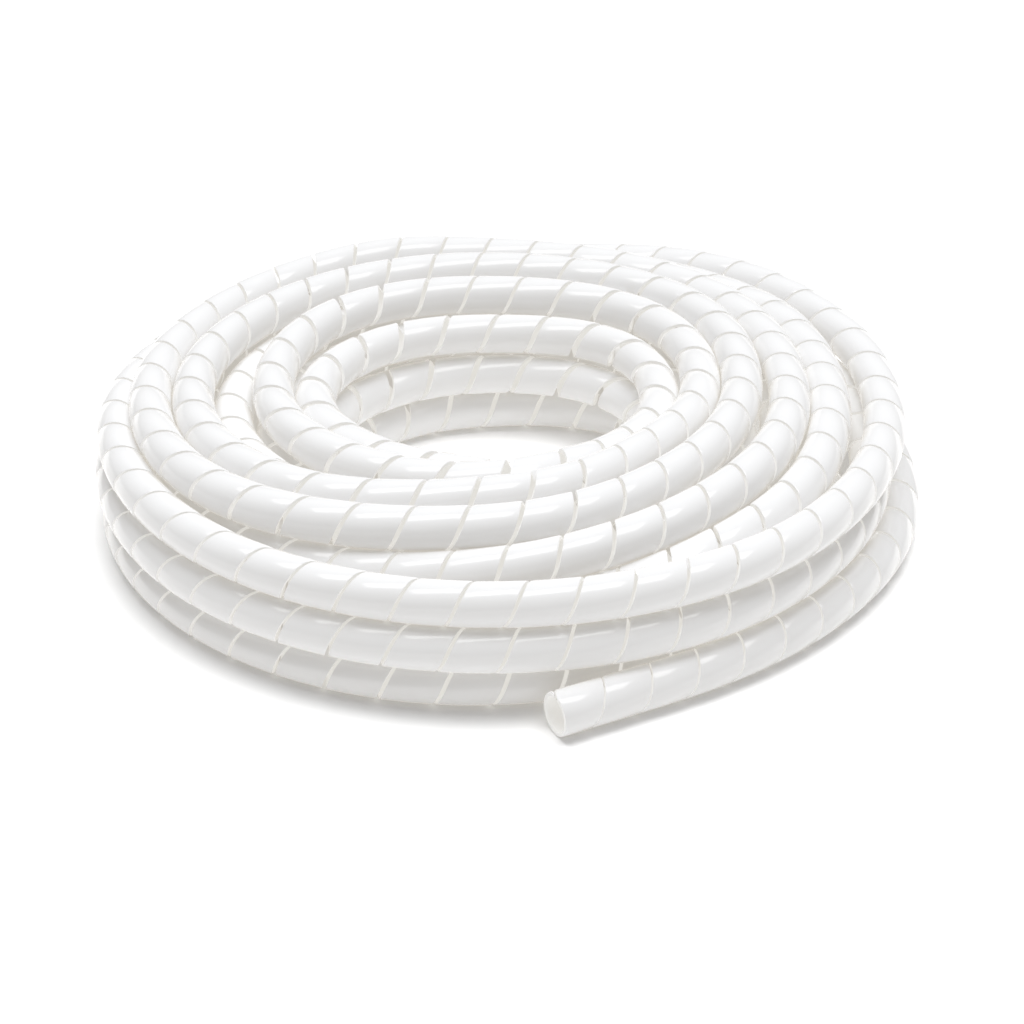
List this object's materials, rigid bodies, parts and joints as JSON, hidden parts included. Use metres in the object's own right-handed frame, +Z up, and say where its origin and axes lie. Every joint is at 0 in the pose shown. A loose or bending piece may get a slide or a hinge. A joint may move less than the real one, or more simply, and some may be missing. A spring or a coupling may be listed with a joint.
{
  "type": "spiral cable wrap coil",
  "caption": "Loose round coil of milk-white polyethylene spiral cable wrap lying flat, with one free end and its open mouth beside it.",
  "frame": {"origin": "on the floor under the middle of the part's box, coil and free end together", "axes": "+Z up along the coil's axis; the free end leaves the coil on the +X side and its mouth lies at the front, on the -Y side"},
  "size_m": [0.2978, 0.3044, 0.0556],
  "materials": {
    "natural_polyethylene": "milky translucent, satin gloss"
  },
  "bodies": {
    "root": {"coil": "natural_polyethylene", "free_end": "natural_polyethylene"}
  },
  "joints": []
}
